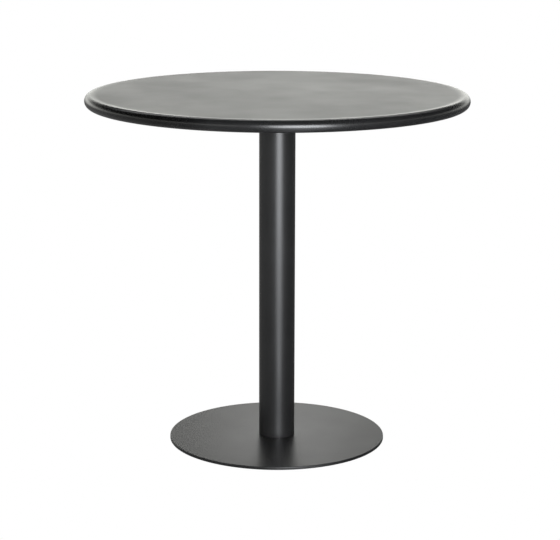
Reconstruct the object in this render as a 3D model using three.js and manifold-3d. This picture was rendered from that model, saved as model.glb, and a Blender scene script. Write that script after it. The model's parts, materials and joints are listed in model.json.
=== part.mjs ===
// Round bistro table: a pressed steel top on a steel tube column, bolted to a flat steel disc base that stands on
// four levelling glides. Millimetres, +Z up, origin at the centre of the footprint on the floor.
import * as THREE from "three";
import { mergeVertices } from "three/addons/utils/BufferGeometryUtils.js";
import Module from "manifold-3d";

const wasm = await Module();
wasm.setup();

// ---- driving dimensions ----

const GAP = 0.3; // between faces that touch on the real table

const TABLE_HEIGHT = 750;
const TOP_RADIUS = 400;
const SHEET = 1.5; // thickness of the pressed top and of the ribs under it
const RIM_RADIUS = 12.5; // the bullnose rim is half a circle, so it is twice this deep
const LIP_RISE = 0.4; // the crown of the rim stands this much above the flat
const LIP_WIDTH = 11.5;
const LIP_RETURN = 14; // flat underside of the rim, turned inwards
const HEM_RADIUS = 3;

const RIB_HEIGHT = 14;
const RIB_CROWN = 26;
const RIB_FLANGE = 12;
const RIB_INNER = 40; // distance of the ribs' ends from the axis
const RIB_OUTER = 364;
const RIB_BEND = 2.5;

const FIXING_PLATE = { side: 230, corner: 22, thickness: 4 };
const FLANGE = { side: 170, corner: 14, thickness: 5 };
const FLANGE_BOLT_OFFSET = 62; // of each bolt from the axis, along X and along Y

const COLUMN_RADIUS = 38.05;
const COLUMN_WALL = 2;
const PLUG_THICKNESS = 12;
const PLUG_VENT_RADIUS = 5;

const BASE_RADIUS = 230;
const BASE_THICKNESS = 6;
const BASE_EDGE_RADIUS = 1.5;
const BASE_SCREW_CIRCLE = 23; // radius on which the four base screws stand

const M8 = { radius: 3.9, hole: 4.3, clearance: 4.6, acrossFlats: 13, pitch: 1.25 };
const BOLT = { head: 5.3, length: 20 };
const WASHER = { radius: 8, hole: 4.35, thickness: 1.6 };
const NUT_HEIGHT = 6.5;
const COUNTERSUNK = { radius: 8, rim: 0.6, length: 16, socketFlats: 5, socketDepth: 2.6 };

const GLIDE_CIRCLE = 198; // radius on which the four glides stand
const GLIDE = { padRadius: 14, padHeight: 3, hexHeight: 1.7, stud: 4.4, holeDepth: 4.8 };
const COUPLER = { head: 4.6, cavity: 5, neck: 3.4, lip: 3.8 }; // radii where the stud snaps into its pad

// ---- heights worked out from them ----

const BASE_BOTTOM = GLIDE.padHeight + 0.1 + GLIDE.hexHeight + 0.2;
const BASE_TOP = BASE_BOTTOM + BASE_THICKNESS;
const FLAT_TOP = TABLE_HEIGHT - LIP_RISE;
const SHEET_UNDERSIDE = FLAT_TOP - SHEET;
const RIB_TOP = SHEET_UNDERSIDE - GAP;
const FIXING_TOP = RIB_TOP - RIB_HEIGHT - GAP;
const FLANGE_TOP = FIXING_TOP - FIXING_PLATE.thickness - GAP;
const FLANGE_BOTTOM = FLANGE_TOP - FLANGE.thickness;
const COLUMN_BOTTOM = BASE_TOP + GAP;
const COLUMN_TOP = FLANGE_BOTTOM - GAP;

// ---- facets of the round pieces ----

const LARGE_SIDES = 60;
const TUBE_SIDES = 48;
const SMALL_SIDES = 16;
const QUARTER_STEPS = 4; // straight pieces in a quarter of the rim's curve

// ---- materials ----

const coat = new THREE.MeshStandardMaterial({ color: 0x2a2a2b, roughness: 0.45, metalness: 0 });
const zinc = new THREE.MeshStandardMaterial({ color: 0xb4b6b8, roughness: 0.35, metalness: 1 });
const nylon = new THREE.MeshStandardMaterial({ color: 0x161616, roughness: 0.55, metalness: 0 });

// ---- shape helpers ----

const table = new THREE.Group();

// Points of a circular arc in the (radius, height) plane, from one angle to another in degrees.
function arc(centreRadius, centreHeight, radius, fromDegrees, toDegrees, steps) {
  return Array.from({ length: steps + 1 }, (_, i) => {
    const angle = THREE.MathUtils.degToRad(fromDegrees + ((toDegrees - fromDegrees) * i) / steps);
    return [centreRadius + radius * Math.cos(angle), centreHeight + radius * Math.sin(angle)];
  });
}

// A profile of [radius, height] points, anticlockwise round its material, turned about Z.
function turned(profile, sides) {
  const points = profile.map(([radius, height]) => new THREE.Vector2(radius, height));
  return new THREE.LatheGeometry(points, sides).rotateX(Math.PI / 2);
}

// A closed ring or tube: the profile doesn't touch the axis, so it ends where it starts.
function ring(profile, sides) {
  return turned([...profile, profile[0]], sides);
}

function cylinder(radius, bottom, top, sides = SMALL_SIDES) {
  return turned([[0, bottom], [radius, bottom], [radius, top], [0, top]], sides);
}

function tube(outer, inner, bottom, top, sides) {
  return ring([[inner, bottom], [outer, bottom], [outer, top], [inner, top]], sides);
}

function extruded(shape, bottom, height) {
  return new THREE.ExtrudeGeometry(shape, { depth: height, bevelEnabled: false }).translate(0, 0, bottom);
}

function hexagon(acrossFlats, bottom, height) {
  const corner = acrossFlats / Math.sqrt(3);
  const corners = Array.from({ length: 6 }, (_, i) => {
    const angle = (i * Math.PI) / 3;
    return new THREE.Vector2(corner * Math.cos(angle), corner * Math.sin(angle));
  });
  return extruded(new THREE.Shape(corners), bottom, height);
}

function roundedSquare({ side, corner, thickness }, bottom) {
  const half = side / 2;
  const shape = new THREE.Shape();
  shape.moveTo(half, -half + corner);
  [[1, 1], [-1, 1], [-1, -1], [1, -1]].forEach(([x, y], turn) => {
    const start = (turn * Math.PI) / 2;
    shape.absarc(x * (half - corner), y * (half - corner), corner, start, start + Math.PI / 2, false);
  });
  return new THREE.ExtrudeGeometry(shape, { depth: thickness, bevelEnabled: false, curveSegments: 6 })
    .translate(0, 0, bottom);
}

// A geometry as a manifold solid, and back.
function solid(geometry) {
  const bare = geometry.clone();
  bare.deleteAttribute("normal");
  bare.deleteAttribute("uv");
  const merged = mergeVertices(bare, 1e-4);
  return new wasm.Manifold(
    new wasm.Mesh({
      numProp: 3,
      vertProperties: merged.attributes.position.array,
      triVerts: new Uint32Array(merged.index.array),
    }),
  );
}

function geometryOf(manifold) {
  const mesh = manifold.getMesh();
  return new THREE.BufferGeometry()
    .setAttribute("position", new THREE.BufferAttribute(mesh.vertProperties, 3))
    .setIndex(new THREE.BufferAttribute(mesh.triVerts, 1));
}

const joined = (...geometries) => geometryOf(geometries.map(solid).reduce((a, b) => a.add(b)));
const cut = (geometry, tools) => geometryOf(tools.map(solid).reduce((a, b) => a.subtract(b), solid(geometry)));

// The four places, a quarter turn apart, where a piece repeats: [name number, x, y].
function fourPlaces(radius, firstDegrees) {
  return [0, 1, 2, 3].map((quarter) => {
    const angle = THREE.MathUtils.degToRad(firstDegrees + 90 * quarter);
    return [quarter + 1, radius * Math.cos(angle), radius * Math.sin(angle)];
  });
}

const boltPlaces = fourPlaces(FLANGE_BOLT_OFFSET * Math.SQRT2, 45);
const screwPlaces = fourPlaces(BASE_SCREW_CIRCLE, 0);
const glidePlaces = fourPlaces(GLIDE_CIRCLE, 45);

const at = (geometry, [, x, y]) => geometry.clone().translate(x, y, 0);

function add(name, geometry, material, [, x, y] = [0, 0, 0]) {
  const mesh = new THREE.Mesh(geometry, material);
  mesh.name = name;
  mesh.position.set(x, y, 0);
  table.add(mesh);
  return mesh;
}

// ---- table top ----

// Pressed pan: a flat that rises a little to the crown of the rim, the half-round rim itself, and the sheet's
// edge turned inwards and up into a small hem. The inner side runs one sheet thickness inside the outer one.
function topSheet() {
  const crown = TOP_RADIUS - RIM_RADIUS;
  const rimHeight = TABLE_HEIGHT - RIM_RADIUS;
  const bottom = TABLE_HEIGHT - 2 * RIM_RADIUS;
  const hemRadius = crown - LIP_RETURN;
  const hemInner = HEM_RADIUS - SHEET;
  const lipSteps = 3;
  const lip = (drop) =>
    Array.from({ length: lipSteps }, (_, i) => {
      const along = i / lipSteps;
      const rise = along * along * (3 - 2 * along);
      return [crown - LIP_WIDTH * (1 - along), FLAT_TOP - drop + LIP_RISE * rise];
    });
  const outer = [
    [0, FLAT_TOP],
    ...lip(0),
    ...arc(crown, rimHeight, RIM_RADIUS, 90, -90, 2 * QUARTER_STEPS),
    ...arc(hemRadius, bottom + HEM_RADIUS, HEM_RADIUS, -90, -180, 2),
  ];
  const inner = [
    ...arc(hemRadius, bottom + HEM_RADIUS, hemInner, -180, -90, 2),
    ...arc(crown, rimHeight, RIM_RADIUS - SHEET, -90, 90, 2 * QUARTER_STEPS),
    ...lip(SHEET).reverse(),
    [0, SHEET_UNDERSIDE],
  ];
  return turned([...outer, ...inner].reverse(), LARGE_SIDES);
}

// Hat-section rib, open towards the sheet, spot-welded to it by its two flanges.
function rib() {
  const foot = RIB_CROWN / 2 + RIB_FLANGE;
  const outer = RIB_CROWN / 2;
  const inner = outer - SHEET;
  const height = RIB_HEIGHT;
  const half = [
    [foot, 0],
    [foot, -SHEET],
    [outer, -SHEET],
    [outer, -height + RIB_BEND],
    [outer - RIB_BEND, -height],
  ];
  const hollow = [
    [inner - RIB_BEND + 1, -height + SHEET],
    [inner, -height + SHEET + RIB_BEND - 1],
    [inner, 0],
  ];
  const mirror = (points) => points.map(([y, z]) => [-y, z]).reverse();
  const outline = [...half, ...mirror(half), ...mirror(hollow), ...hollow];
  const shape = new THREE.Shape(outline.map(([y, z]) => new THREE.Vector2(y, z)));
  return new THREE.ExtrudeGeometry(shape, { depth: RIB_OUTER - RIB_INNER, bevelEnabled: false })
    .rotateX(Math.PI / 2)
    .rotateZ(Math.PI / 2)
    .translate(RIB_INNER, 0, RIB_TOP);
}

function buildTop() {
  add("top_sheet", topSheet(), coat);
  for (let quarter = 0; quarter < 4; quarter++) {
    add(`top_rib_${quarter + 1}`, rib().rotateZ((quarter * Math.PI) / 2), coat);
  }
  const plateBottom = FIXING_TOP - FIXING_PLATE.thickness;
  const plateHole = cylinder(M8.clearance, plateBottom - 1, FIXING_TOP + 1);
  const plate = roundedSquare(FIXING_PLATE, plateBottom);
  add("top_fixing_plate", cut(plate, boltPlaces.map((place) => at(plateHole, place))), coat);
  const nutBottom = FIXING_TOP + GAP;
  const nut = cut(hexagon(M8.acrossFlats, nutBottom, NUT_HEIGHT), [
    cylinder(M8.hole, nutBottom - 1, nutBottom + NUT_HEIGHT + 1),
  ]);
  boltPlaces.forEach((place) => add(`weld_nut_${place[0]}`, nut, zinc, place));
}

// ---- column ----

function flangeBolt() {
  const shankBottom = FLANGE_BOTTOM - WASHER.thickness - 2 * GAP;
  return joined(
    hexagon(M8.acrossFlats, shankBottom - BOLT.head, BOLT.head),
    cylinder(M8.radius, shankBottom - 1, shankBottom + BOLT.length),
  );
}

function buildColumn() {
  const flangeHole = cylinder(M8.clearance, FLANGE_BOTTOM - 1, FLANGE_TOP + 1);
  const flange = roundedSquare(FLANGE, FLANGE_BOTTOM);
  add("column_flange", cut(flange, boltPlaces.map((place) => at(flangeHole, place))), coat);
  const inner = COLUMN_RADIUS - COLUMN_WALL;
  add("column_tube", tube(COLUMN_RADIUS, inner, COLUMN_BOTTOM, COLUMN_TOP, TUBE_SIDES), coat);

  const plugTop = COLUMN_BOTTOM + PLUG_THICKNESS;
  const plug = cylinder(inner - GAP, COLUMN_BOTTOM, plugTop, TUBE_SIDES);
  const tapped = cylinder(M8.hole, COLUMN_BOTTOM - 1, plugTop + 1);
  const vent = cylinder(PLUG_VENT_RADIUS, COLUMN_BOTTOM - 1, plugTop + 1);
  add("column_foot_plug", cut(plug, [vent, ...screwPlaces.map((place) => at(tapped, place))]), coat);

  const washerTop = FLANGE_BOTTOM - GAP;
  const washer = tube(WASHER.radius, WASHER.hole, washerTop - WASHER.thickness, washerTop, SMALL_SIDES);
  const bolt = flangeBolt();
  for (const place of boltPlaces) {
    add(`flange_washer_${place[0]}`, washer, zinc, place);
    add(`flange_bolt_${place[0]}`, bolt, zinc, place);
  }
}

// ---- base ----

// Countersunk clearance hole, opened a little wider than the screw head.
function screwHole() {
  const mouth = COUNTERSUNK.radius + 0.6;
  const cone = mouth - M8.clearance;
  return turned(
    [
      [0, BASE_BOTTOM - 1],
      [mouth, BASE_BOTTOM - 1],
      [mouth, BASE_BOTTOM + COUNTERSUNK.rim],
      [M8.clearance, BASE_BOTTOM + COUNTERSUNK.rim + cone],
      [M8.clearance, BASE_TOP + 1],
      [0, BASE_TOP + 1],
    ],
    SMALL_SIDES,
  );
}

function countersunkScrew() {
  const bottom = BASE_BOTTOM + 0.1;
  const { radius, rim, length } = COUNTERSUNK;
  const body = turned(
    [
      [0, bottom],
      [radius, bottom],
      [radius, bottom + rim],
      [M8.radius, bottom + rim + radius - M8.radius],
      [M8.radius, bottom + length],
      [0, bottom + length],
    ],
    SMALL_SIDES,
  );
  return cut(body, [hexagon(COUNTERSUNK.socketFlats, bottom - 1, COUNTERSUNK.socketDepth + 1)]);
}

function buildBase() {
  const edge = BASE_RADIUS - BASE_EDGE_RADIUS;
  const disc = turned(
    [
      [0, BASE_BOTTOM],
      [BASE_RADIUS - 0.5, BASE_BOTTOM],
      [BASE_RADIUS, BASE_BOTTOM + 0.5],
      ...arc(edge, BASE_TOP - BASE_EDGE_RADIUS, BASE_EDGE_RADIUS, 0, 90, 3),
      [0, BASE_TOP],
    ],
    LARGE_SIDES,
  );
  const glideHole = cylinder(M8.hole, BASE_BOTTOM - 1, BASE_BOTTOM + GLIDE.holeDepth);
  add(
    "base_plate",
    cut(disc, [
      ...screwPlaces.map((place) => at(screwHole(), place)),
      ...glidePlaces.map((place) => at(glideHole, place)),
    ]),
    coat,
  );
  const screw = countersunkScrew();
  screwPlaces.forEach((place) => add(`base_screw_${place[0]}`, screw, zinc, place));
}

// ---- levelling glides ----

const COUPLER_FLOOR = 1.3; // nylon left under the stud's head
const COUPLER_CEILING = 2.6; // underside of the lip that holds the stud in

// Nylon pad: a low dome with a flat foot, hollow where the stud's head snaps in.
function glidePad() {
  const { padRadius, padHeight } = GLIDE;
  return turned(
    [
      [0, 0],
      [padRadius - 1, 0],
      [padRadius, 0.8],
      [padRadius, 1.6],
      [padRadius - 2, 2.4],
      [padRadius - 5, padHeight],
      [COUPLER.lip, padHeight],
      [COUPLER.lip, COUPLER_CEILING],
      [COUPLER.cavity, COUPLER_CEILING],
      [COUPLER.cavity, COUPLER_FLOOR],
      [0, COUPLER_FLOOR],
    ],
    SMALL_SIDES,
  );
}

// Steel stud: a head inside the pad, a hexagon to turn it by, and the M8 shank in the base plate.
function glideStud() {
  const headBottom = COUPLER_FLOOR + GAP;
  const headTop = COUPLER_CEILING - GAP;
  const hexBottom = GLIDE.padHeight + 0.1;
  const hexTop = hexBottom + GLIDE.hexHeight;
  return joined(
    turned(
      [
        [0, headBottom],
        [COUPLER.head, headBottom],
        [COUPLER.head, headTop],
        [COUPLER.neck, headTop],
        [COUPLER.neck, hexBottom + 0.5],
        [0, hexBottom + 0.5],
      ],
      SMALL_SIDES,
    ),
    hexagon(M8.acrossFlats, hexBottom, GLIDE.hexHeight),
    cylinder(M8.radius, hexTop - 0.5, BASE_BOTTOM + GLIDE.stud),
  );
}

function buildGlides() {
  const pad = glidePad();
  const stud = glideStud();
  for (const place of glidePlaces) {
    add(`glide_pad_${place[0]}`, pad, nylon, place);
    add(`glide_stud_${place[0]}`, stud, zinc, place);
  }
}

buildTop();
buildColumn();
buildBase();
buildGlides();

export default table;
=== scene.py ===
import json
import math

import bmesh
import bpy
from mathutils import Matrix, Vector


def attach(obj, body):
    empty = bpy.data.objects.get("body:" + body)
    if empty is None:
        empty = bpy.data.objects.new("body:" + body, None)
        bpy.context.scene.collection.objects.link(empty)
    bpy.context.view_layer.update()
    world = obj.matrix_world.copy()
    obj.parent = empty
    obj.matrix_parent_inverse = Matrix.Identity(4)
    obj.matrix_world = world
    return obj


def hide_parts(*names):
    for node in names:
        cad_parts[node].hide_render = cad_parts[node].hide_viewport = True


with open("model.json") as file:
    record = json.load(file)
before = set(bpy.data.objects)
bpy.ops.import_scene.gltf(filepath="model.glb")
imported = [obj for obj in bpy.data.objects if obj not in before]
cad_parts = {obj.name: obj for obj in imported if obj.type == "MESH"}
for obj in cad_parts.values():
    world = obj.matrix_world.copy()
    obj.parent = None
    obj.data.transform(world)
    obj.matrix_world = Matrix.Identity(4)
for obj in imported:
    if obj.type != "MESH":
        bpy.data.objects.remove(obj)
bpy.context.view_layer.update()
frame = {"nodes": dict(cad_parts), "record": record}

MM = 0.001

# ---- sizes shared with the CAD, in millimetres ----

TABLE_HEIGHT = 750.0
TOP_RADIUS = 400.0
SHEET = 1.5
RIM_RADIUS = 12.5
LIP_RISE = 0.4
LIP_WIDTH = 11.5
LIP_RETURN = 14.0
HEM_RADIUS = 3.0
GAP = 0.3
M8_FLATS = 13.0
M8_PITCH = 1.25


# ---- mesh helpers ----


def new_object(name, verts, faces):
    """A mesh object from points in millimetres."""
    mesh = bpy.data.meshes.new(name)
    mesh.from_pydata([(x * MM, y * MM, z * MM) for x, y, z in verts], [], faces)
    mesh.validate()
    obj = bpy.data.objects.new(name, mesh)
    bpy.context.scene.collection.objects.link(obj)
    return obj


def tidy(obj, sharp_degrees=32.0):
    """Faces point out, and the surface is smooth except across edges sharper than that angle."""
    bm = bmesh.new()
    bm.from_mesh(obj.data)
    bmesh.ops.remove_doubles(bm, verts=bm.verts, dist=1e-7)
    bmesh.ops.recalc_face_normals(bm, faces=bm.faces)
    limit = math.radians(sharp_degrees)
    for face in bm.faces:
        face.smooth = True
    for edge in bm.edges:
        edge.smooth = edge.calc_face_angle(math.pi) < limit
    bm.to_mesh(obj.data)
    bm.free()
    return obj


def arc(centre_r, centre_z, radius, start, end, steps):
    """Points of an arc in the (radius, height) plane, both ends included."""
    points = []
    for i in range(steps + 1):
        a = math.radians(start + (end - start) * i / steps)
        points.append((centre_r + radius * math.cos(a), centre_z + radius * math.sin(a)))
    return points


def lathe(name, profile, sides, closed=False):
    """The (radius, height) profile turned about Z. It starts and ends on the axis, or closes on itself."""
    verts, rings, faces = [], [], []
    for r, z in profile:
        if r < 1e-6:
            rings.append([len(verts)] * sides)
            verts.append((0.0, 0.0, z))
            continue
        rings.append(list(range(len(verts), len(verts) + sides)))
        for i in range(sides):
            a = 2 * math.pi * i / sides
            verts.append((r * math.cos(a), r * math.sin(a), z))
    pairs = list(zip(rings, rings[1:] + ([rings[0]] if closed else [])))
    for low, high in pairs[: len(rings) if closed else len(rings) - 1]:
        for i in range(sides):
            j = (i + 1) % sides
            corners = []
            for v in (low[i], low[j], high[j], high[i]):
                if v not in corners:
                    corners.append(v)
            if len(corners) > 2:
                faces.append(corners)
    return new_object(name, verts, faces)


def prism(name, outline, bottom, top, bevel=0.0, steps=3):
    """A flat plate of that outline, with its upper and lower edges rounded."""
    centre = Vector((sum(x for x, _ in outline), sum(y for _, y in outline))) / len(outline)
    levels = []
    for i in range(steps + 1 if bevel else 1):
        a = math.pi / 2 * i / steps
        levels.append((bevel * (1 - math.sin(a)), bottom + bevel * (1 - math.cos(a))))
    levels += [(inset, bottom + top - z) for inset, z in reversed(levels)]
    verts, n = [], len(outline)
    for inset, z in levels:
        for k, (x, y) in enumerate(outline):
            before, after = Vector(outline[k - 1]), Vector(outline[(k + 1) % n])
            along = (after - before).normalized()
            out = Vector((along.y, -along.x))
            if out.dot(Vector((x, y)) - centre) < 0:
                out = -out
            verts.append((x - out.x * inset, y - out.y * inset, z))
    faces = [list(range(n))[::-1], list(range(len(verts) - n, len(verts)))]
    for level in range(len(levels) - 1):
        for k in range(n):
            a, b = level * n + k, level * n + (k + 1) % n
            faces.append((a, b, b + n, a + n))
    return new_object(name, verts, faces)


def circle(radius, sides, x=0.0, y=0.0):
    turns = [2 * math.pi * i / sides for i in range(sides)]
    return [(x + radius * math.cos(a), y + radius * math.sin(a)) for a in turns]


def rounded_square(side, corner, steps=12):
    half, points = side / 2 - corner, []
    for turn, (sx, sy) in enumerate(((1, 1), (-1, 1), (-1, -1), (1, -1))):
        for i in range(steps + 1):
            a = math.pi / 2 * (turn + i / steps)
            points.append((sx * half + corner * math.cos(a), sy * half + corner * math.sin(a)))
    return points


def moved(obj, x=0.0, y=0.0, z=0.0):
    obj.data.transform(Matrix.Translation((x * MM, y * MM, z * MM)))
    return obj


def combined(obj, others, operation):
    """obj joined with, cut by or kept within the others, which are used up."""
    for other in others:
        modifier = obj.modifiers.new("cut", "BOOLEAN")
        modifier.operation = operation
        modifier.solver = "EXACT"
        modifier.object = other
        evaluated = obj.evaluated_get(bpy.context.evaluated_depsgraph_get())
        mesh = bpy.data.meshes.new_from_object(evaluated)
        obj.modifiers.clear()
        old = obj.data
        obj.data = mesh
        mesh.name = obj.name
        bpy.data.meshes.remove(old)
        bpy.data.objects.remove(other)
    return obj


def merged(name, objects):
    """One object that holds several meshes as they are."""
    bm = bmesh.new()
    for obj in objects:
        bm.from_mesh(obj.data)
        bpy.data.objects.remove(obj)
    mesh = bpy.data.meshes.new(name)
    bm.to_mesh(mesh)
    bm.free()
    result = bpy.data.objects.new(name, mesh)
    bpy.context.scene.collection.objects.link(result)
    return result


def copied(obj, name):
    twin = bpy.data.objects.new(name, obj.data.copy())
    bpy.context.scene.collection.objects.link(twin)
    return twin


# ---- materials ----


class Nodes:
    """Short words for a material's node tree."""

    def __init__(self, name):
        self.material = bpy.data.materials.new(name)
        self.material.use_nodes = True
        self.tree = self.material.node_tree
        self.shader = self.tree.nodes["Principled BSDF"]
        self.place = self.tree.nodes.new("ShaderNodeTexCoord").outputs["Object"]

    def add(self, kind, **settings):
        node = self.tree.nodes.new(kind)
        for key, value in settings.items():
            if key in node.inputs:
                node.inputs[key].default_value = value
            else:
                setattr(node, key, value)
        return node

    def link(self, source, target):
        self.tree.links.new(source, target)

    def noise(self, scale, detail=2.0, roughness=0.5):
        node = self.add("ShaderNodeTexNoise", Scale=scale, Detail=detail, Roughness=roughness)
        self.link(self.place, node.inputs["Vector"])
        return node.outputs["Fac"]

    def spread(self, value, low, high, from_low=0.3, from_high=0.7):
        node = self.add("ShaderNodeMapRange")
        node.inputs["From Min"].default_value = from_low
        node.inputs["From Max"].default_value = from_high
        node.inputs["To Min"].default_value = low
        node.inputs["To Max"].default_value = high
        self.link(value, node.inputs["Value"])
        return node.outputs["Result"]

    def blend(self, factor, first, second):
        node = self.add("ShaderNodeMix", data_type="RGBA")
        for socket in node.inputs:
            if socket.name == "A" and socket.type == "RGBA":
                socket.default_value = (*first, 1.0)
            if socket.name == "B" and socket.type == "RGBA":
                socket.default_value = (*second, 1.0)
        self.link(factor, node.inputs["Factor"])
        return next(s for s in node.outputs if s.type == "RGBA")

    def math(self, operation, a, b):
        node = self.add("ShaderNodeMath", operation=operation)
        for socket, value in zip(node.inputs, (a, b)):
            if isinstance(value, (int, float)):
                socket.default_value = value
            else:
                self.link(value, socket)
        return node.outputs[0]

    def bump(self, height, distance, before=None):
        node = self.add("ShaderNodeBump", Distance=distance, Strength=1.0)
        self.link(height, node.inputs["Height"])
        if before:
            self.link(before, node.inputs["Normal"])
        return node.outputs["Normal"]

    def reach(self):
        """Distance from the upright axis through the object's origin."""
        flat = self.add("ShaderNodeVectorMath", operation="MULTIPLY")
        flat.inputs[1].default_value = (1.0, 1.0, 0.0)
        self.link(self.place, flat.inputs[0])
        length = self.add("ShaderNodeVectorMath", operation="LENGTH")
        self.link(flat.outputs["Vector"], length.inputs[0])
        return length.outputs["Value"]

    def set(self, **sockets):
        for key, value in sockets.items():
            socket = self.shader.inputs[key.replace("_", " ")]
            if isinstance(value, bpy.types.NodeSocket):
                self.link(value, socket)
            else:
                socket.default_value = value


def powder_coat():
    """Satin near-black powder coat: fine orange peel, faint clouds in its depth of colour and its sheen.

    It flows thinner and smoother over the top's rolled rim.
    """
    n = Nodes("powder_coat")
    clouds = n.noise(5.5, 4.0, 0.6)
    grain = n.noise(900.0, 2.0, 0.6)
    tone = n.math("ADD", n.math("MULTIPLY", clouds, 0.7), n.math("MULTIPLY", grain, 0.3))
    colour = n.blend(n.spread(tone, 0.0, 1.0), (0.0068, 0.0068, 0.0070), (0.0155, 0.0155, 0.0157))
    sheen = n.math("ADD", n.math("MULTIPLY", n.noise(8.5, 3.0, 0.55), 0.75), n.math("MULTIPLY", grain, 0.25))
    peel = n.bump(n.noise(420.0, 2.0, 0.5), 0.000006)
    rim = n.spread(n.reach(), 1.0, 0.76, 0.373, 0.387)
    n.set(
        Base_Color=colour,
        Roughness=n.math("MULTIPLY", n.spread(sheen, 0.335, 0.395), rim),
        Normal=n.bump(n.noise(1700.0, 2.0, 0.6), 0.0000016, peel),
        IOR=1.5,
        Metallic=0.0,
    )
    return n.material


def zinc():
    """Dull zinc plating with a faint blue passivate, cloudy in its sheen."""
    n = Nodes("zinc_plated")
    clouds = n.noise(260.0, 4.0, 0.6)
    colour = n.blend(n.spread(clouds, 0.0, 1.0), (0.36, 0.375, 0.40), (0.50, 0.50, 0.48))
    n.set(
        Base_Color=colour,
        Metallic=1.0,
        Roughness=n.spread(n.noise(700.0, 3.0, 0.6), 0.36, 0.50),
        Normal=n.bump(n.noise(1500.0, 2.0, 0.5), 0.000004),
    )
    return n.material


def nylon():
    """Black moulded nylon with a fine spark-eroded grain."""
    n = Nodes("black_nylon")
    grain = n.noise(1900.0, 3.0, 0.6)
    colour = n.blend(n.spread(n.noise(120.0, 2.0, 0.5), 0.0, 1.0), (0.009, 0.009, 0.009), (0.016, 0.016, 0.0155))
    n.set(
        Base_Color=colour,
        Roughness=n.spread(grain, 0.44, 0.6),
        Normal=n.bump(grain, 0.00002),
        IOR=1.53,
    )
    return n.material


COAT, ZINC, NYLON = powder_coat(), zinc(), nylon()
SLOTS = {"powder_coat": COAT, "zinc_plated": ZINC, "black_nylon": NYLON}


def dress(obj, slot, body, *replaced, sharp=32.0):
    """Finishes a piece: its surface, its material, the body it rides on and the CAD nodes it stands for."""
    tidy(obj, sharp)
    obj.data.materials.clear()
    obj.data.materials.append(SLOTS[slot])
    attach(obj, body)
    if replaced:
        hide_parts(*replaced)
    return obj


# ---- the pressed top ----


def top_profile():
    crown = TOP_RADIUS - RIM_RADIUS
    rim_z = TABLE_HEIGHT - RIM_RADIUS
    bottom = TABLE_HEIGHT - 2 * RIM_RADIUS
    flat = TABLE_HEIGHT - LIP_RISE
    hem = crown - LIP_RETURN

    def lip(drop):
        points = []
        for i in range(14):
            t = i / 14
            points.append((crown - LIP_WIDTH * (1 - t), flat - drop + LIP_RISE * t * t * (3 - 2 * t)))
        return points

    rings = (30.0, 90.0, 160.0, 230.0, 300.0, 345.0, 366.0, 373.0)
    outer = [(0.0, flat)] + [(r, flat) for r in rings] + lip(0.0)
    outer += arc(crown, rim_z, RIM_RADIUS, 90, -90, 56)
    outer += arc(hem, bottom + HEM_RADIUS, HEM_RADIUS, -90, -180, 12)
    edge = arc(hem - HEM_RADIUS + SHEET / 2, bottom + HEM_RADIUS, SHEET / 2, 180, 0, 8)[1:-1]
    inner = arc(hem, bottom + HEM_RADIUS, HEM_RADIUS - SHEET, -180, -90, 8)
    inner += arc(crown, rim_z, RIM_RADIUS - SHEET, -90, 90, 32)
    inner += lip(SHEET)[::-1]
    inner += [(r, flat - SHEET) for r in rings[::-1]] + [(0.0, flat - SHEET)]
    return outer + edge + inner


dress(lathe("top_sheet_pressed", top_profile(), 320), "powder_coat", "table", "top_sheet")

# ---- ribs under the top ----

RIB_HEIGHT, RIB_CROWN, RIB_FLANGE = 14.0, 26.0, 12.0
RIB_INNER, RIB_OUTER = 40.0, 364.0
RIB_TOP = TABLE_HEIGHT - LIP_RISE - SHEET - GAP


def bent(points, radius_inside, steps=6):
    """A sheet's cross-section along a path of points, one sheet thick on its right side, with rounded bends."""
    left, right = [], []
    for k, point in enumerate(points):
        p = Vector(point)
        if k in (0, len(points) - 1):
            other = Vector(points[1]) if k == 0 else Vector(points[-2])
            along = (other - p if k == 0 else p - other).normalized()
            side = Vector((along.y, -along.x))
            left.append(p)
            right.append(p + side * SHEET)
            continue
        a = (p - Vector(points[k - 1])).normalized()
        b = (Vector(points[k + 1]) - p).normalized()
        turn = a.angle_signed(b)  # positive turns clockwise, towards the right side
        small, large = radius_inside, radius_inside + SHEET
        on_left = large if turn > 0 else small
        half = abs(turn) / 2
        start = p - a * on_left * math.tan(half)
        inward = Vector((a.y, -a.x)) if turn > 0 else Vector((-a.y, a.x))
        centre = start + inward * on_left
        for i in range(steps + 1):
            spin = Matrix.Rotation(-turn * i / steps, 2)
            spoke = spin @ (start - centre)
            left.append(centre + spoke)
            reach = -SHEET if turn > 0 else SHEET
            right.append(centre + spoke.normalized() * (on_left + reach))
    return [tuple(v) for v in left + right[::-1]]


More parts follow.
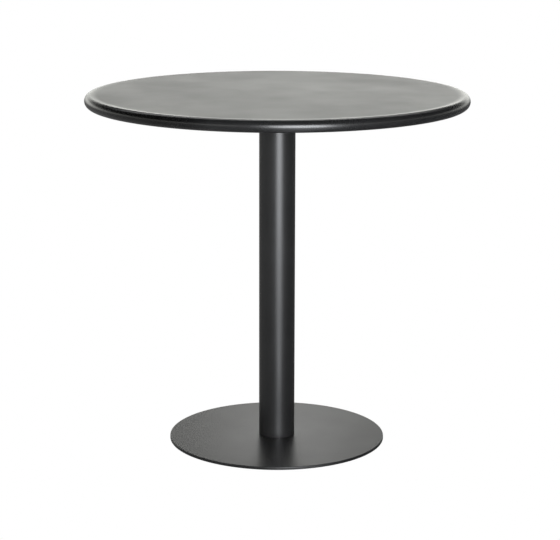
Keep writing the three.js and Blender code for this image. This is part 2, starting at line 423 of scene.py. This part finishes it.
def rib(name):
    foot, side = RIB_CROWN / 2 + RIB_FLANGE, RIB_CROWN / 2
    path = [(-foot, 0.0), (-side + SHEET, 0.0), (-side + SHEET, -RIB_HEIGHT + SHEET)]
    path += [(side - SHEET, -RIB_HEIGHT + SHEET), (side - SHEET, 0.0), (foot, 0.0)]
    outline = bent(path, 1.0)
    n, verts, faces = len(outline), [], []
    stations = [RIB_INNER, RIB_INNER + 0.3, RIB_OUTER - 0.3, RIB_OUTER]
    for x in stations:
        verts += [(x, y, RIB_TOP + z) for y, z in outline]
    for s in range(len(stations) - 1):
        for k in range(n):
            a, b = s * n + k, s * n + (k + 1) % n
            faces.append((a, b, b + n, a + n))
    half = n // 2
    for s in (0, len(stations) - 1):  # the cut ends, as a strip of quads between the two sides of the sheet
        for k in range(half - 1):
            faces.append((s * n + k, s * n + k + 1, s * n + n - 2 - k, s * n + n - 1 - k))
    pieces = [new_object(name, verts, faces)]
    button = [(0.0, 0.1), (1.4, 0.12), (2.2, 0.3), (2.8, 0.42), (3.3, 0.3), (3.6, 0.0), (0.0, 0.0)]
    for x in range(66, 360, 48):
        for y in (-19.0, 19.0):
            spot = lathe("spot", [(r, RIB_TOP - SHEET - h) for r, h in button], 24)
            pieces.append(moved(spot, x, y))
    return merged(name, pieces)


for quarter in range(4):
    piece = rib(f"top_rib_pressed_{quarter + 1}")
    piece.data.transform(Matrix.Rotation(quarter * math.pi / 2, 4, "Z"))
    dress(piece, "powder_coat", "table", f"top_rib_{quarter + 1}")

# ---- fixing plate, flange and their fasteners ----

FIXING_TOP = RIB_TOP - RIB_HEIGHT - GAP
FIXING_BOTTOM = FIXING_TOP - 4.0
FLANGE_TOP = FIXING_BOTTOM - GAP
FLANGE_BOTTOM = FLANGE_TOP - 5.0
BOLT_OFFSET = 62.0
BOLT_PLACES = [(sx * BOLT_OFFSET, sy * BOLT_OFFSET) for sx, sy in ((1, 1), (-1, 1), (-1, -1), (1, -1))]


def drilled(obj, places, radius, low, high, sides=48):
    cutters = [moved(lathe("drill", [(0, low), (radius, low), (radius, high), (0, high)], sides), x, y)
               for x, y in places]
    return combined(obj, cutters, "DIFFERENCE")


def hexagon(name, flats, bottom, top, chamfer_low=True, chamfer_high=True):
    """A hexagon head or nut, its corners turned off at 30 degrees on the faces that say so."""
    corner = flats / math.sqrt(3)
    body = prism(name, circle(corner, 6), bottom, top)
    inside = flats / 2 * 0.97
    drop = (corner + 1 - inside) * math.tan(math.radians(30))
    profile = [(0.0, bottom - (0 if chamfer_low else 1))]
    profile += [(inside, bottom), (corner + 1, bottom + drop)] if chamfer_low else [(corner + 1, bottom - 1)]
    profile += [(corner + 1, top - drop), (inside, top)] if chamfer_high else [(corner + 1, top + 1)]
    profile += [(0.0, top + (0 if chamfer_high else 1))]
    return combined(body, [lathe("turning", profile, 72)], "INTERSECT")


def thread(name, bottom, top, sides=32, rows=8, major=4.0, minor=3.42):
    """An M8 thread as a real helix on a closed shank, faded out at both ends."""
    step = M8_PITCH / rows
    count = int(round((top - bottom) / step))
    verts, faces = [], []
    for j in range(count + 1):
        z = bottom + (top - bottom) * j / count
        fade = min(1.0, (z - bottom) / 1.0, (top - z) / 1.0)
        for i in range(sides):
            phase = (z / M8_PITCH - i / sides) % 1.0
            ridge = min(1.0, max(0.0, 1.35 - abs(phase - 0.5) * 4.4))
            r = minor + (major - minor) * ridge * fade
            a = 2 * math.pi * i / sides
            verts.append((r * math.cos(a), r * math.sin(a), z))
    for j in range(count):
        for i in range(sides):
            a, b = j * sides + i, j * sides + (i + 1) % sides
            faces.append((a, b, b + sides, a + sides))
    faces.append(tuple(range(sides))[::-1])
    faces.append(tuple(range(count * sides, (count + 1) * sides)))
    return new_object(name, verts, faces)


plate = prism("top_fixing_plate_cut", rounded_square(230.0, 22.0), FIXING_BOTTOM, FIXING_TOP, 0.5)
drilled(plate, BOLT_PLACES, 4.6, FIXING_BOTTOM - 1, FIXING_TOP + 1)
dress(plate, "powder_coat", "table", "top_fixing_plate")

flange = prism("column_flange_cut", rounded_square(170.0, 14.0), FLANGE_BOTTOM, FLANGE_TOP, 0.6)
drilled(flange, BOLT_PLACES, 4.6, FLANGE_BOTTOM - 1, FLANGE_TOP + 1)
dress(flange, "powder_coat", "table", "column_flange")

NUT_BOTTOM, NUT_TOP = FIXING_TOP + GAP, FIXING_TOP + GAP + 6.5
nut = hexagon("nut", M8_FLATS, NUT_BOTTOM, NUT_TOP, chamfer_low=False)
bore = [(0, NUT_BOTTOM - 1), (4.9, NUT_BOTTOM - 1), (4.9, NUT_BOTTOM), (4.2, NUT_BOTTOM + 0.7)]
bore += [(4.2, NUT_TOP - 0.7), (4.9, NUT_TOP), (4.9, NUT_TOP + 1), (0, NUT_TOP + 1)]
combined(nut, [lathe("bore", bore, 48)], "DIFFERENCE")

WASHER_TOP = FLANGE_BOTTOM - GAP
washer_profile = [(4.35, WASHER_TOP - 1.6), (7.75, WASHER_TOP - 1.6), (8.0, WASHER_TOP - 1.35)]
washer_profile += [(8.0, WASHER_TOP - 0.15), (7.85, WASHER_TOP), (4.35, WASHER_TOP)]
washer = lathe("washer", washer_profile, 64, closed=True)

SHANK_BOTTOM = WASHER_TOP - 1.6 - GAP
head = hexagon("bolt_head", M8_FLATS, SHANK_BOTTOM - 5.3, SHANK_BOTTOM, chamfer_high=False)
dish = [(0, SHANK_BOTTOM - 6), (4.6, SHANK_BOTTOM - 6), (4.6, SHANK_BOTTOM - 5.3), (4.2, SHANK_BOTTOM - 5.0)]
dish += [(0, SHANK_BOTTOM - 5.0)]
combined(head, [lathe("dish", dish, 48)], "DIFFERENCE")
bolt = merged("bolt", [head, thread("shank", SHANK_BOTTOM - 0.4, SHANK_BOTTOM + 20.0)])

for number, (x, y) in enumerate(BOLT_PLACES, 1):
    for source, name, node in (
        (nut, "weld_nut_turned", "weld_nut"),
        (washer, "flange_washer_turned", "flange_washer"),
        (bolt, "flange_bolt_turned", "flange_bolt"),
    ):
        piece = moved(copied(source, f"{name}_{number}"), x, y)
        dress(piece, "zinc_plated", "table", f"{node}_{number}", sharp=28.0)
for source in (nut, washer, bolt):
    bpy.data.objects.remove(source)

# ---- column ----

COLUMN_RADIUS, COLUMN_INNER = 38.05, 36.05
BASE_BOTTOM, BASE_TOP = 5.0, 11.0
COLUMN_BOTTOM, COLUMN_TOP = BASE_TOP + 0.08, FLANGE_BOTTOM - 0.05


def column_profile():
    ease = 0.45
    points = arc(COLUMN_RADIUS - ease, COLUMN_BOTTOM + ease, ease, -90, 0, 4)
    points += [(COLUMN_RADIUS, COLUMN_BOTTOM + 12), (COLUMN_RADIUS, COLUMN_TOP - 12)]
    points += [(COLUMN_RADIUS, COLUMN_TOP), (COLUMN_INNER, COLUMN_TOP), (COLUMN_INNER, COLUMN_BOTTOM)]
    return points


dress(lathe("column_tube_drawn", column_profile(), 192, closed=True), "powder_coat", "table", "column_tube")


def weld_bead(name, radius, top, size):
    """A fillet weld round the tube under the flange, with the ripples of a laid bead."""
    sides, section, verts, faces = 480, 10, [], []
    for i in range(sides):
        a = 2 * math.pi * i / sides
        ripple = 1 + 0.055 * math.sin(62 * a + 0.7 * math.sin(5 * a)) + 0.04 * math.sin(3 * a + 1)
        for k in range(section):
            t = k / (section - 1)
            swell = math.sin(math.pi * t) * 0.55 * ripple
            r = radius - 0.1 + size * ripple * (1 - t) + swell
            z = top + 0.05 - size * ripple * t - swell
            verts.append((r * math.cos(a), r * math.sin(a), z))
        verts.append(((radius - 0.6) * math.cos(a), (radius - 0.6) * math.sin(a), top + 0.05))
    ring = section + 1
    for i in range(sides):
        j = (i + 1) % sides
        for k in range(ring):
            m = (k + 1) % ring
            faces.append((i * ring + k, i * ring + m, j * ring + m, j * ring + k))
    return new_object(name, verts, faces)


dress(weld_bead("column_flange_weld", COLUMN_RADIUS, FLANGE_BOTTOM, 4.2), "powder_coat", "table", sharp=60.0)

# ---- base plate and its screws ----

BASE_RADIUS, EDGE = 230.0, 1.5
SCREW_PLACES = [(23.0 * math.cos(a), 23.0 * math.sin(a)) for a in (0, math.pi / 2, math.pi, 3 * math.pi / 2)]
GLIDE_CIRCLE = 198.0 * math.sqrt(0.5)
GLIDE_PLACES = [(sx * GLIDE_CIRCLE, sy * GLIDE_CIRCLE) for sx, sy in ((1, 1), (-1, 1), (-1, -1), (1, -1))]

base_profile = [(0.0, BASE_BOTTOM), (226.0, BASE_BOTTOM)]
base_profile += arc(BASE_RADIUS - 0.5, BASE_BOTTOM + 0.5, 0.5, -90, 0, 4)
base_profile += arc(BASE_RADIUS - EDGE, BASE_TOP - EDGE, EDGE, 0, 90, 12)
base_profile += [(r, BASE_TOP) for r in (227.0, 215.0, 180.0, 130.0, 80.0, 42.0, 20.0, 0.0)]
base = lathe("base_plate_turned", base_profile, 320)
sink = [(0, BASE_BOTTOM - 1), (8.6, BASE_BOTTOM - 1), (8.6, BASE_BOTTOM + 0.6), (4.6, BASE_BOTTOM + 4.6)]
sink += [(4.6, BASE_TOP + 1), (0, BASE_TOP + 1)]
combined(base, [moved(lathe("sink", sink, 64), x, y) for x, y in SCREW_PLACES], "DIFFERENCE")
drilled(base, GLIDE_PLACES, 4.3, BASE_BOTTOM - 1, BASE_BOTTOM + 4.8)
dress(base, "powder_coat", "table", "base_plate")

screw_bottom = BASE_BOTTOM + 0.1
screw_head = [(0, screw_bottom), (7.7, screw_bottom), (8.0, screw_bottom + 0.3), (8.0, screw_bottom + 0.6)]
screw_head += [(3.9, screw_bottom + 4.7), (3.9, screw_bottom + 5.5), (0, screw_bottom + 5.5)]
screw_head = lathe("screw_head", screw_head, 64)
socket = prism("socket", circle(5.0 / math.sqrt(3), 6), screw_bottom - 1, screw_bottom + 2.6)
combined(screw_head, [socket], "DIFFERENCE")
screw = merged("screw", [screw_head, thread("screw_shank", screw_bottom + 5.2, screw_bottom + 16.0)])
for number, (x, y) in enumerate(SCREW_PLACES, 1):
    piece = moved(copied(screw, f"base_screw_turned_{number}"), x, y)
    dress(piece, "zinc_plated", "table", f"base_screw_{number}", sharp=28.0)
bpy.data.objects.remove(screw)

# ---- levelling glides ----

pad_profile = [(0.0, 0.0), (8.0, 0.0), (12.8, 0.0)] + arc(13.1, 0.9, 0.9, -90, 0, 5)
pad_profile += [(14.0, 1.45), (13.6, 1.8), (12.3, 2.3), (10.6, 2.72), (9.2, 2.95), (8.4, 3.0), (4.1, 3.0)]
pad_profile += [(3.8, 2.85), (3.8, 2.6), (5.0, 2.6), (5.0, 1.3), (0.0, 1.3)]
pad = lathe("pad", pad_profile, 72)

stud_turned = [(0.0, 1.6), (4.35, 1.6), (4.6, 1.8), (4.6, 2.1), (4.4, 2.3), (3.4, 2.3), (3.4, 3.6), (0.0, 3.6)]
stud_parts = [
    lathe("stud_head", stud_turned, 48),
    hexagon("stud_hexagon", M8_FLATS, 3.1, 4.8),
    thread("stud_thread", 4.5, BASE_BOTTOM + 4.4),
]
stud = merged("stud", stud_parts)
for number, (x, y) in enumerate(GLIDE_PLACES, 1):
    foot = moved(copied(pad, f"glide_pad_moulded_{number}"), x, y)
    dress(foot, "black_nylon", f"glide_{number}_foot", f"glide_pad_{number}", sharp=40.0)
    stem = moved(copied(stud, f"glide_stud_turned_{number}"), x, y)
    dress(stem, "zinc_plated", f"glide_{number}_screw", f"glide_stud_{number}", sharp=28.0)
for source in (pad, stud):
    bpy.data.objects.remove(source)

# ---- CAD pieces that keep their own shape ----

slot_of = {part["node"]: part["material_slot"] for part in frame["record"]["subparts"]}
for name, node in frame["nodes"].items():
    node.data.materials.clear()
    node.data.materials.append(SLOTS[slot_of[name]])

# ---- camera ----

CAMERA_DISTANCE, CAMERA_HEIGHT = 3.87818, 1.25668
YAW, PITCH, ROLL, FOCAL_PX = 0.00162, 0.22414, -0.00267, 1873.93


def make_camera():
    forward = Vector((math.sin(YAW) * math.cos(PITCH), math.cos(YAW) * math.cos(PITCH), -math.sin(PITCH)))
    right = Vector((math.cos(YAW), -math.sin(YAW), 0.0))
    down = forward.cross(right)
    right, down = (
        right * math.cos(ROLL) + down * math.sin(ROLL),
        down * math.cos(ROLL) - right * math.sin(ROLL),
    )
    data = bpy.data.cameras.new("camera")
    data.sensor_width = 36.0
    data.lens = 36.0 * FOCAL_PX / 560.0
    data.clip_start, data.clip_end = 0.05, 200.0
    camera = bpy.data.objects.new("camera", data)
    bpy.context.scene.collection.objects.link(camera)
    turn = Matrix((right, -down, -forward)).transposed().to_4x4()
    camera.matrix_world = Matrix.Translation((0.0, -CAMERA_DISTANCE, CAMERA_HEIGHT)) @ turn
    bpy.context.scene.camera = camera


make_camera()

# ---- floor, surroundings and lights ----


class Stage:
    """Node tree of an emitting surface: white to the camera, another colour in reflections and as light."""

    def __init__(self, tree, kind):
        self.tree = tree
        tree.nodes.clear()
        self.output = tree.nodes.new(kind)

    def value(self, socket, source):
        if isinstance(source, (int, float)):
            socket.default_value = source
        else:
            self.tree.links.new(source, socket)

    def math(self, operation, *values):
        node = self.tree.nodes.new("ShaderNodeMath")
        node.operation = operation
        for socket, value in zip(node.inputs, values):
            self.value(socket, value)
        return node.outputs[0]

    def sum(self, colour, factor, base):
        node = self.tree.nodes.new("ShaderNodeVectorMath")
        node.operation = "MULTIPLY_ADD"
        for socket, value in zip(node.inputs, (colour, factor, base)):
            self.tree.links.new(value, socket)
        return node.outputs["Vector"]

    def position(self, output):
        split = self.tree.nodes.new("ShaderNodeSeparateXYZ")
        self.tree.links.new(self.tree.nodes.new("ShaderNodeTexCoord").outputs[output], split.inputs[0])
        return split.outputs["X"], split.outputs["Y"], split.outputs["Z"]

    def ramp(self, place, stops):
        """A smooth curve through (place, level, tint) stops, as a share of the brightest level."""
        node = self.tree.nodes.new("ShaderNodeValToRGB")
        node.color_ramp.interpolation = "EASE"
        while len(node.color_ramp.elements) < len(stops):
            node.color_ramp.elements.new(0.5)
        for element, (at, level, *tint) in zip(node.color_ramp.elements, stops):
            red, green, blue = tint[0] if tint else (1.0, 1.0, 1.0)
            element.position = at
            element.color = (level * red / PEAK, level * green / PEAK, level * blue / PEAK, 1.0)
        self.value(node.inputs[0], place)
        return node.outputs["Color"]

    def emit(self, colour, strength=1.0):
        seen = self.tree.nodes.new("ShaderNodeEmission")
        other = self.tree.nodes.new("ShaderNodeEmission")
        if isinstance(colour, tuple):
            other.inputs["Color"].default_value = (*colour, 1.0)
        else:
            self.tree.links.new(colour, other.inputs["Color"])
        if isinstance(strength, (int, float)):
            other.inputs["Strength"].default_value = strength * PEAK
        else:
            self.value(other.inputs["Strength"], self.math("MULTIPLY", strength, PEAK))
        mix = self.tree.nodes.new("ShaderNodeMixShader")
        path = self.tree.nodes.new("ShaderNodeLightPath")
        self.tree.links.new(path.outputs["Is Camera Ray"], mix.inputs[0])
        self.tree.links.new(other.outputs[0], mix.inputs[1])
        self.tree.links.new(seen.outputs[0], mix.inputs[2])
        self.tree.links.new(mix.outputs[0], self.output.inputs["Surface"])


PEAK = 8.0
WARM, COOL = (0.992, 1.0, 0.95), (0.94, 0.96, 1.0)


def make_floor():
    """Pale floor, white to the camera. Its glow in reflections is painted light: painted shade makes it darker near
    the table, a painted lit strip lies where the softbox would light it, and its level round the table is painted too.
    """
    size = 20000.0
    corners = [(-size, -size, 0), (size, -size, 0), (size, size, 0), (-size, size, 0)]
    floor = new_object("floor", corners, [(0, 1, 2, 3)])
    material = bpy.data.materials.new("pale_floor")
    material.use_nodes = True
    stage = Stage(material.node_tree, "ShaderNodeOutputMaterial")
    x, y, _ = stage.position("Object")
    turn = stage.math("ARCTAN2", x, stage.math("MULTIPLY", y, -1.0))
    place = stage.math("MULTIPLY_ADD", turn, 0.5 / math.pi, 0.5)
    # painted light: the floor's glow in reflections has a painted level for each side, a painted lit strip at the
    # softbox, and painted shade near the table that fades with distance
    sides = [(0.0, 0.24), (0.25, 0.31), (0.41, 0.20), (0.48, 0.10), (0.60, 0.10, COOL), (0.75, 0.09, COOL)]
    painted_level_around = stage.ramp(place, sides + [(1.0, 0.20)])
    strip = stage.ramp(place, [(0.475, 0.0), (0.522, 7.0, COOL), (0.555, 7.0, COOL), (0.602, 0.0)])
    reach = stage.math("SQRT", stage.math("ADD", stage.math("POWER", x, 2.0), stage.math("POWER", y, 2.0)))
    rings = [(0.0, 0.10), (0.15, 0.10), (0.3, 0.24), (0.45, 0.45), (0.85, 1.0)]
    painted_shade_by_reach = stage.ramp(stage.math("MULTIPLY", reach, 0.25), [(at, share * PEAK) for at, share in rings])
    stage.emit(stage.sum(strip, painted_shade_by_reach, painted_level_around))
    material.cycles.emission_sampling = "NONE"
    floor.data.materials.append(material)


def card(name, start, end, low, high, stops, plain=False):
    """An upright card from one point of the floor to another: out of sight, but its glow shows in the paint.

    A plain card has one colour, and the others have a level for each place along them.
    """
    (x0, y0), (x1, y1) = start, end
    board = new_object(name, [(x0, y0, low), (x1, y1, low), (x1, y1, high), (x0, y0, high)], [(0, 1, 2, 3)])
    material = bpy.data.materials.new(name)
    material.use_nodes = True
    stage = Stage(material.node_tree, "ShaderNodeOutputMaterial")
    if not plain:
        dx, dy = x1 - x0, y1 - y0
        square = dx * dx + dy * dy
        x, y, _ = stage.position("Object")
        place = stage.math("MULTIPLY_ADD", x, 1000.0 * dx / square, -(x0 * dx + y0 * dy) / square)
        place = stage.math("MULTIPLY_ADD", y, 1000.0 * dy / square, place)
        glow = stage.ramp(place, stops)
    else:
        glow = tuple(level / PEAK for level in stops)
    stage.emit(glow)
    material.cycles.emission_sampling = "NONE"
    board.data.materials.append(material)
    board.visible_camera = False


def make_world():
    """White to the camera. In reflections: pale walls, brighter up high behind the table, and a dark ceiling."""
    world = bpy.data.worlds.new("studio")
    bpy.context.scene.world = world
    world.use_nodes = True
    world.cycles.sampling_method = "NONE"
    stage = Stage(world.node_tree, "ShaderNodeOutputWorld")
    x, y, z = stage.position("Generated")
    stops = [(0.0, 1.20, WARM), (0.07, 2.55, WARM), (0.155, 3.05, WARM), (0.25, 0.05), (0.5, 0.04), (0.62, 0.03)]
    walls = stage.ramp(z, stops + [(1.0, 0.03)])
    high = stage.ramp(z, [(0.0, 0.0), (0.52, 0.0), (0.70, 3.8), (0.84, 3.4), (0.92, 0.0)])
    behind = stage.ramp(y, [(0.0, 0.0), (0.45, 0.0), (0.75, PEAK)])
    across = stage.math("MULTIPLY_ADD", x, 0.5, 0.5)
    levels = [(0.0, 2.6), (0.33, 5.6), (0.44, 6.9), (0.53, 7.9), (0.575, 8.0), (0.75, 3.2), (1.0, 1.6)]
    side = stage.ramp(across, levels)
    stage.emit(stage.sum(high, behind, walls), stage.math("MULTIPLY", side, 1.11))


def softbox(name, azimuth, distance, bottom, size, radiance, colour=(1.0, 1.0, 1.0)):
    """An upright rectangular light that faces the table: azimuth 0 is the camera's side, 90 is +X."""
    data = bpy.data.lights.new(name, "AREA")
    data.shape = "RECTANGLE"
    data.size, data.size_y = size
    data.energy = radiance * math.pi * size[0] * size[1]
    data.color = colour
    light = bpy.data.objects.new(name, data)
    bpy.context.scene.collection.objects.link(light)
    a = math.radians(azimuth)
    back = Vector((math.sin(a), -math.cos(a), 0.0))
    light.location = back * distance + Vector((0.0, 0.0, bottom + size[1] / 2))
    light.rotation_mode = "QUATERNION"
    light.rotation_quaternion = (-back).to_track_quat("-Z", "Y")
    light.visible_camera = False
    return light


make_floor()
make_world()
softbox("key_softbox", 11.8, 3.3, 0.02, (1.8, 1.9), 13.0, COOL)
card("back_fill", (-280.0, 800.0), (320.0, 800.0), 215.0, 440.0, [(0.0, 0.0), (0.5, 1.28), (1.0, 0.0)])
softbox("foot_fill", 14.0, 0.42, 0.01, (0.10, 0.12), 3.4, COOL)
card("beam_edge", (-125.0, -500.0), (-125.0, -2900.0), 1.0, 1900.0, (0.1, 0.1, 0.1), plain=True)
bpy.context.scene.view_settings.view_transform = "Standard"
bpy.context.scene.view_settings.look = "None"
